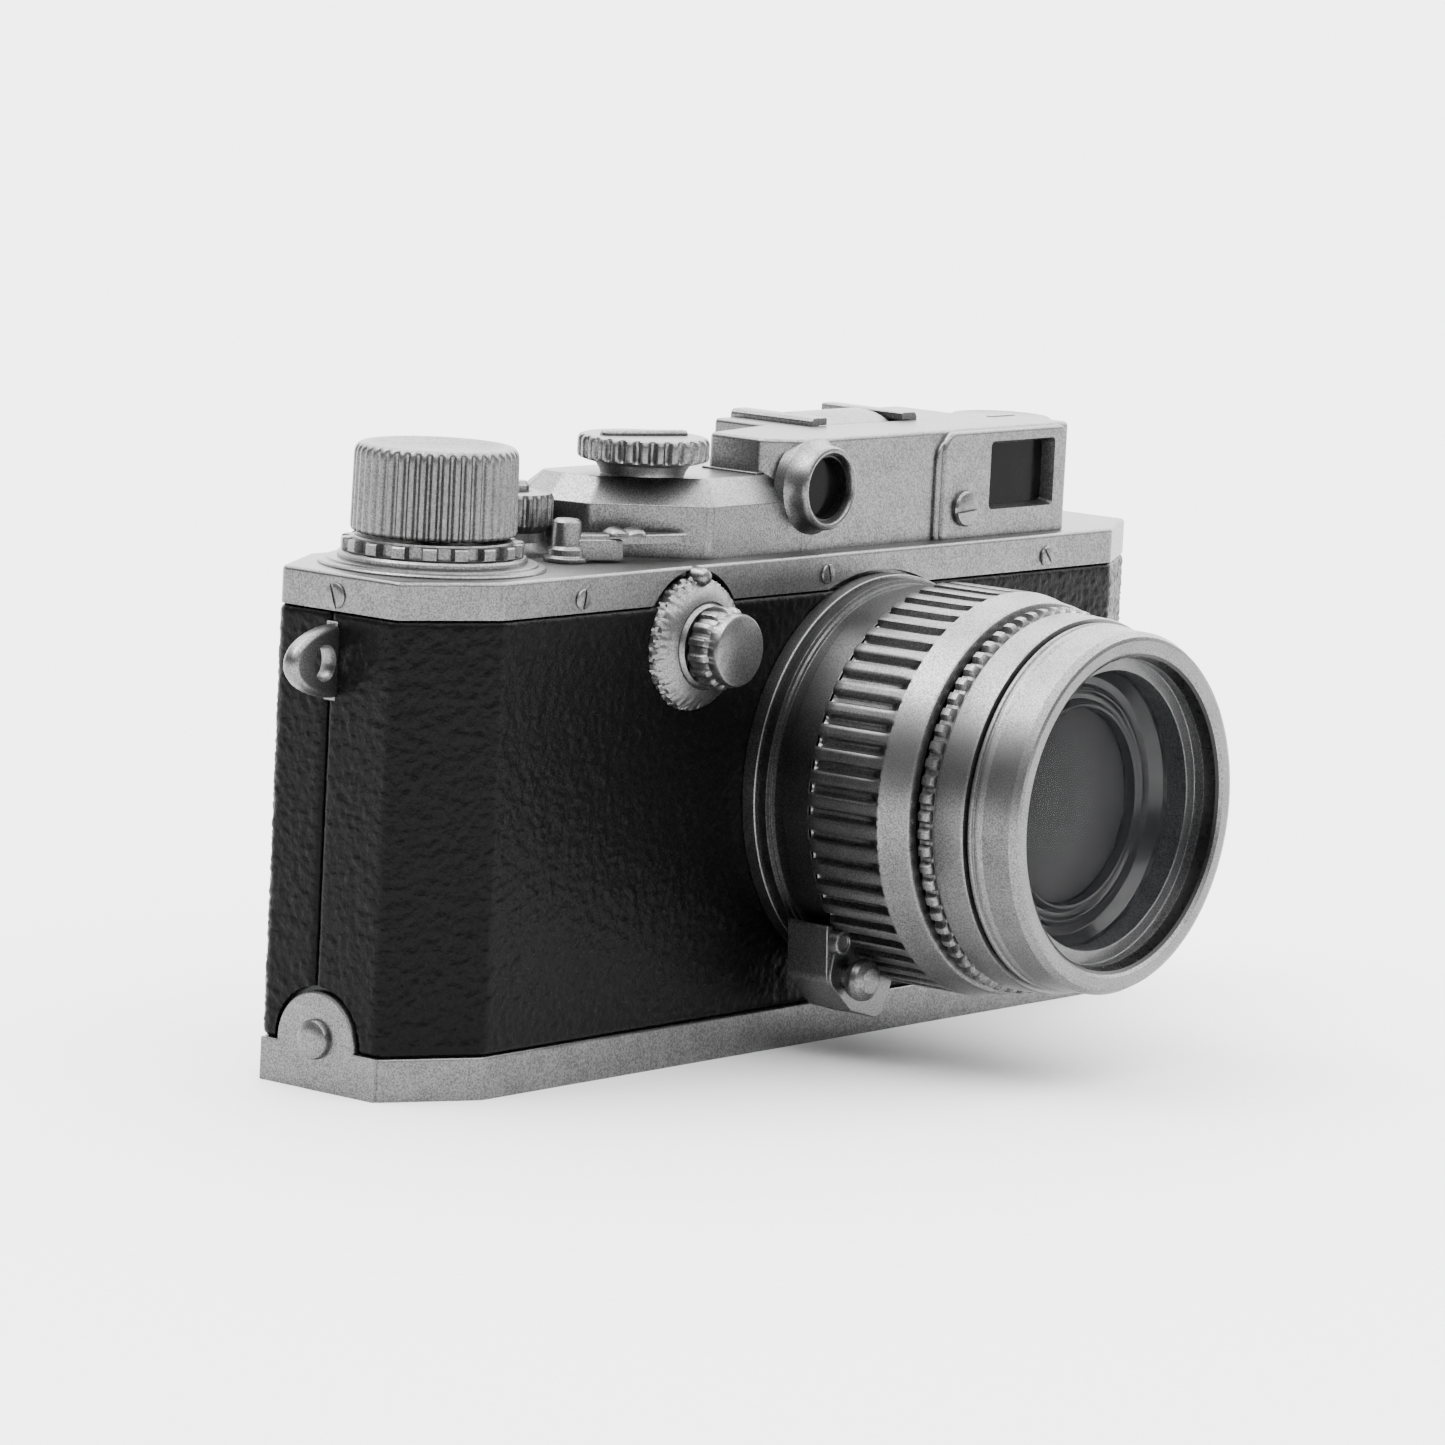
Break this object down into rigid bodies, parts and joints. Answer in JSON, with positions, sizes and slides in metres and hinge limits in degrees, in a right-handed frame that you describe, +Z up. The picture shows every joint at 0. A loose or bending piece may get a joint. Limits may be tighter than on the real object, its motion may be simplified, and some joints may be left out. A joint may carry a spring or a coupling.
{
  "type": "film camera",
  "caption": "35 mm rangefinder film camera, knob wind, focal-plane shutter dial, screw-mounted 50 mm lens with focusing and aperture rings, removable base plate.",
  "frame": {"origin": "centre of the base plate's underside, on the surface the camera stands on", "axes": "+X along the body from the wind end to the rewind end, -Y forwards along the lens, +Z up"},
  "size_m": [0.1514, 0.069, 0.0739],
  "materials": {
    "satin_silver": "satin, fine metallic speckle",
    "dark_silver": "satin, darker",
    "black_body": "semi-matt black enamel",
    "leatherette": "pebbled black covering",
    "steel": "satin",
    "brass": "machined",
    "blade_steel": "blued, matt",
    "curtain_cloth": "rubberised black cloth",
    "dark_glass": "polished, dark behind",
    "clear_glass": "polished"
  },
  "bodies": {
    "root": {"accessory_shoe": "satin_silver", "body_casting": "black_body", "cover_screws": "satin_silver", "eyepiece_glass": "dark_glass", "eyepiece_ring": "black_body", "film_gate": "black_body", "finder_prism": "clear_glass", "front_leatherette": "leatherette", "latch_catch": "steel", "lens_collar": "dark_silver", "lens_mount_ring": "satin_silver", "mount_screws": "steel", "pressure_plate": "black_body", "rangefinder_carrier": "black_body", "rangefinder_prism": "clear_glass", "rangefinder_window": "dark_glass", "rear_leatherette": "leatherette", "release_collar": "satin_silver", "release_spring": "steel", "shutter_curtains": "curtain_cloth", "slow_dial_seat": "satin_silver", "strap_lug_left": "satin_silver", "strap_lug_right": "satin_silver", "top_cover": "satin_silver", "viewfinder_window": "dark_glass"},
    "base": {"base_plate": "satin_silver", "tripod_bush": "steel"},
    "latch": {"latch_key": "satin_silver", "latch_arm": "steel"},
    "bow": {"latch_bow": "satin_silver"},
    "wind": {"wind_knob": "satin_silver", "wind_shaft": "steel", "wind_gear": "brass"},
    "counter": {"frame_counter": "satin_silver"},
    "takeup": {"takeup_spool": "black_body"},
    "sprocket_axle": {"sprocket": "steel", "sprocket_gear": "brass"},
    "release": {"release_button": "satin_silver"},
    "lever": {"advance_rewind_lever": "satin_silver"},
    "shutter": {"shutter_drum": "brass"},
    "roller": {"curtain_roller": "steel"},
    "speed": {"speed_dial": "satin_silver"},
    "slow": {"slow_speed_knob": "satin_silver"},
    "rewind": {"rewind_knob": "satin_silver", "rewind_fork": "steel"},
    "focus": {"focusing_ring": "satin_silver"},
    "lock": {"infinity_lock_button": "satin_silver"},
    "optics": {"inner_barrel": "dark_silver", "front_barrel": "satin_silver", "optics_ring": "black_body", "front_cover_glass": "clear_glass", "front_element": "clear_glass", "middle_element": "clear_glass", "optics_cell": "black_body", "rear_cell": "black_body", "rear_element": "clear_glass", "range_cam": "brass", "aperture_blades": "blade_steel"},
    "iris": {"aperture_ring": "satin_silver"},
    "range_arm": {"rangefinder_arm": "steel"}
  },
  "joints": [
    {"name": "wind_knob_turn", "type": "hinge", "parent": "root", "child": "wind", "pos_m": [-0.053, 0, 0], "axis": [0, 0, 1], "continuous": true},
    {"name": "frame_counter_turn", "type": "hinge", "parent": "root", "child": "counter", "pos_m": [-0.053, 0, 0], "axis": [0, 0, 1], "continuous": true},
    {"name": "takeup_spool_turn", "type": "hinge", "parent": "root", "child": "takeup", "pos_m": [-0.053, 0, 0], "axis": [0, 0, 1], "continuous": true},
    {"name": "sprocket_turn", "type": "hinge", "parent": "root", "child": "sprocket_axle", "pos_m": [-0.0345, 0.004, 0], "axis": [0, 0, 1], "continuous": true},
    {"name": "release_press", "type": "slide", "parent": "root", "child": "release", "axis": [0, 0, -1], "range_m": [0, 0.0015], "stiffness_N_per_m": 300, "springref_m": -0.001, "deforming": ["release_spring"]},
    {"name": "advance_rewind_lever_turn", "type": "hinge", "parent": "root", "child": "lever", "pos_m": [-0.0355, -0.005, 0], "axis": [0, 0, 1], "range_deg": [-35, 0]},
    {"name": "shutter_drum_turn", "type": "hinge", "parent": "root", "child": "shutter", "pos_m": [-0.0195, -0.0025, 0], "axis": [0, 0, 1], "range_deg": [0, 295]},
    {"name": "curtain_roller_turn", "type": "hinge", "parent": "root", "child": "roller", "pos_m": [0.0352, 0.0017, 0], "axis": [0, 0, 1], "range_deg": [0, 740]},
    {"name": "speed_dial_turn", "type": "hinge", "parent": "shutter", "child": "speed", "pos_m": [-0.0195, -0.0025, 0], "axis": [0, 0, 1], "range_deg": [0, 300]},
    {"name": "slow_speed_turn", "type": "hinge", "parent": "root", "child": "slow", "pos_m": [-0.024, 0, 0.0501], "axis": [0, -1, 0], "range_deg": [0, 240]},
    {"name": "rewind_turn", "type": "hinge", "parent": "root", "child": "rewind", "pos_m": [0.053, 0, 0], "axis": [0, 0, 1], "continuous": true},
    {"name": "focus_turn", "type": "hinge", "parent": "root", "child": "focus", "pos_m": [0.0106, 0, 0.0322], "axis": [0, -1, 0], "range_deg": [0, 155]},
    {"name": "lens_extend", "type": "slide", "parent": "root", "child": "optics", "axis": [0, -1, 0], "range_m": [0, 0.0027]},
    {"name": "aperture_turn", "type": "hinge", "parent": "optics", "child": "iris", "pos_m": [0.0106, 0, 0.0322], "axis": [0, -1, 0], "range_deg": [0, 75]},
    {"name": "rangefinder_arm_turn", "type": "hinge", "parent": "root", "child": "range_arm", "pos_m": [-0.006, -0.0093, 0], "axis": [0, 0, 1], "range_deg": [-10, 0]},
    {"name": "infinity_lock_press", "type": "slide", "parent": "focus", "child": "lock", "axis": [0, 1, 0], "range_m": [0, 0.001], "stiffness_N_per_m": 300, "springref_m": -0.001},
    {"name": "base_plate_slide", "type": "slide", "parent": "root", "child": "base", "axis": [0, 0, -1], "range_m": [0, 0.04]},
    {"name": "latch_key_turn", "type": "hinge", "parent": "base", "child": "latch", "pos_m": [0.045, 0, 0], "axis": [0, 0, -1], "range_deg": [0, 180]},
    {"name": "latch_bow_flip", "type": "hinge", "parent": "latch", "child": "bow", "pos_m": [0.045, 0, 0.00075], "axis": [0, 1, 0], "range_deg": [0, 90]}
  ],
  "couplings": [
    {"joint": "frame_counter_turn", "follows": "wind_knob_turn", "ratio": 0.025},
    {"joint": "takeup_spool_turn", "follows": "wind_knob_turn", "ratio": 1},
    {"joint": "sprocket_turn", "follows": "wind_knob_turn", "ratio": -1.2},
    {"joint": "curtain_roller_turn", "follows": "shutter_drum_turn", "ratio": 2.5},
    {"joint": "focus_turn", "follows": "lens_extend", "rad_per_m": 1000},
    {"joint": "rangefinder_arm_turn", "follows": "lens_extend", "rad_per_m": -60}
  ]
}
